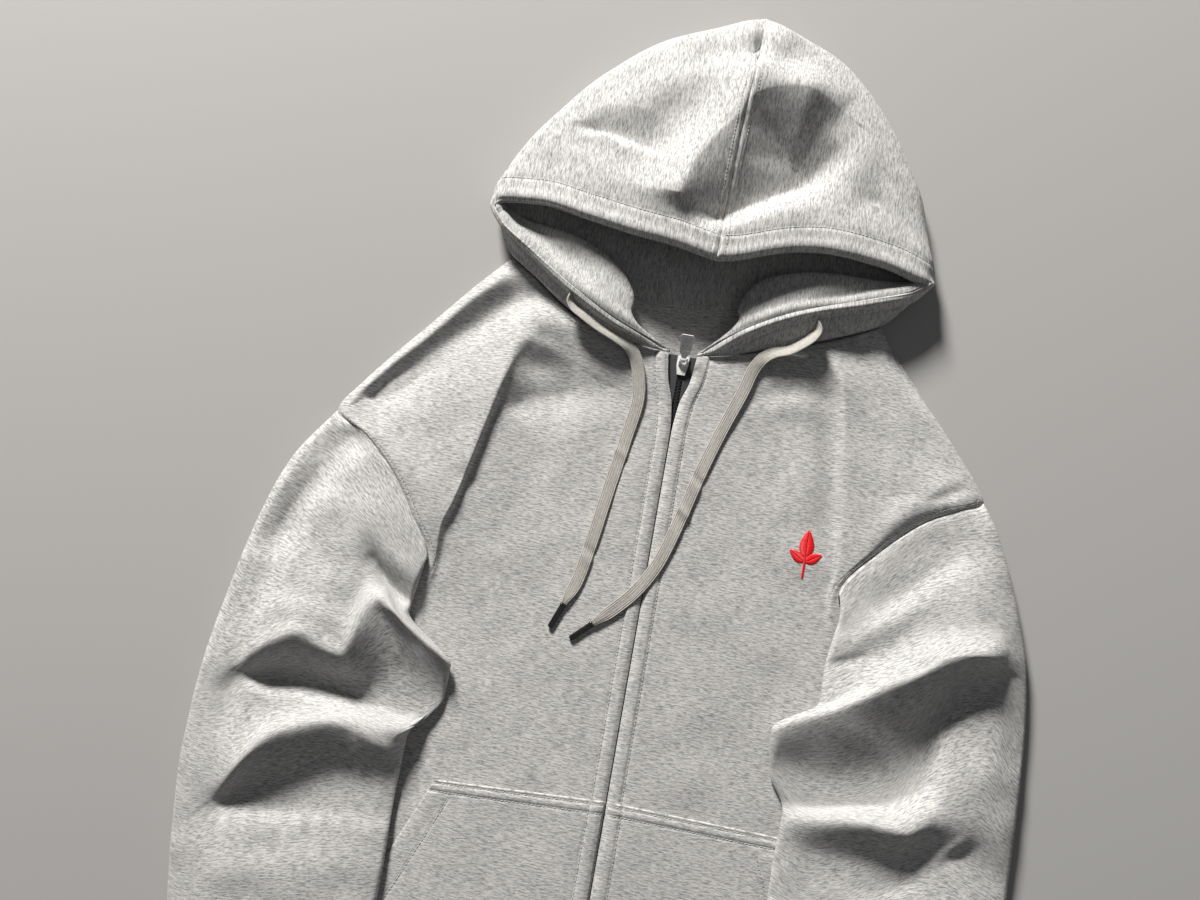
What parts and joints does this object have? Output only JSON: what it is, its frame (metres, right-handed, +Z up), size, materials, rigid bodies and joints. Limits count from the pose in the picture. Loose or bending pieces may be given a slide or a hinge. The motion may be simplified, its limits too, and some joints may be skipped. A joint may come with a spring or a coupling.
{
  "type": "zip-front hoodie",
  "caption": "Grey fleece hooded sweatshirt with a zipped front, laid flat on its back, hood up, sleeves folded down at the sides, patch pockets and flat drawcords.",
  "frame": {"origin": "centre of the garment's outline, on the surface it lies on, measured without the free drawcords", "axes": "+Y from the cuffs and hem towards the top of the hood, +X towards the wearer's left, +Z up out of the surface, from the back panel towards the fronts"},
  "size_m": [0.616, 0.9344, 0.045],
  "materials": {
    "fleece": "heather grey brushed-back fleece, matt",
    "lining": "heather grey jersey, matt",
    "rib": "heather grey rib knit, matt",
    "cord": "light grey flat braid, matt",
    "tape": "dark woven zip tape",
    "teeth": "dark anodised metal teeth",
    "metal": "bright nickel plate",
    "aglet": "black metal, glossy"
  },
  "bodies": {
    "garment": {"front_right": "fleece", "front_left": "fleece", "hood_right": "fleece", "hood_left": "fleece", "hood_lining_right": "lining", "hood_lining_left": "lining", "back_panel": "fleece", "sleeve_right": "fleece", "sleeve_left": "fleece", "cuff_right": "rib", "cuff_left": "rib", "pocket_right": "fleece", "pocket_left": "fleece", "waistband": "rib", "zip_tape_right": "tape", "zip_tape_left": "tape", "zip_teeth": "teeth", "zip_slider": "metal", "drawcord_right": "cord", "drawcord_left": "cord", "cord_tip_right": "aglet", "cord_tip_left": "aglet"},
    "pull_tab": {"zip_pull": "metal"}
  },
  "joints": [
    {"name": "pull_hinge", "type": "hinge", "parent": "garment", "child": "pull_tab", "pos_m": [0.011, 0.1785, 0.0132], "axis": [1, 0, 0], "range_deg": [-12, 110]}
  ]
}
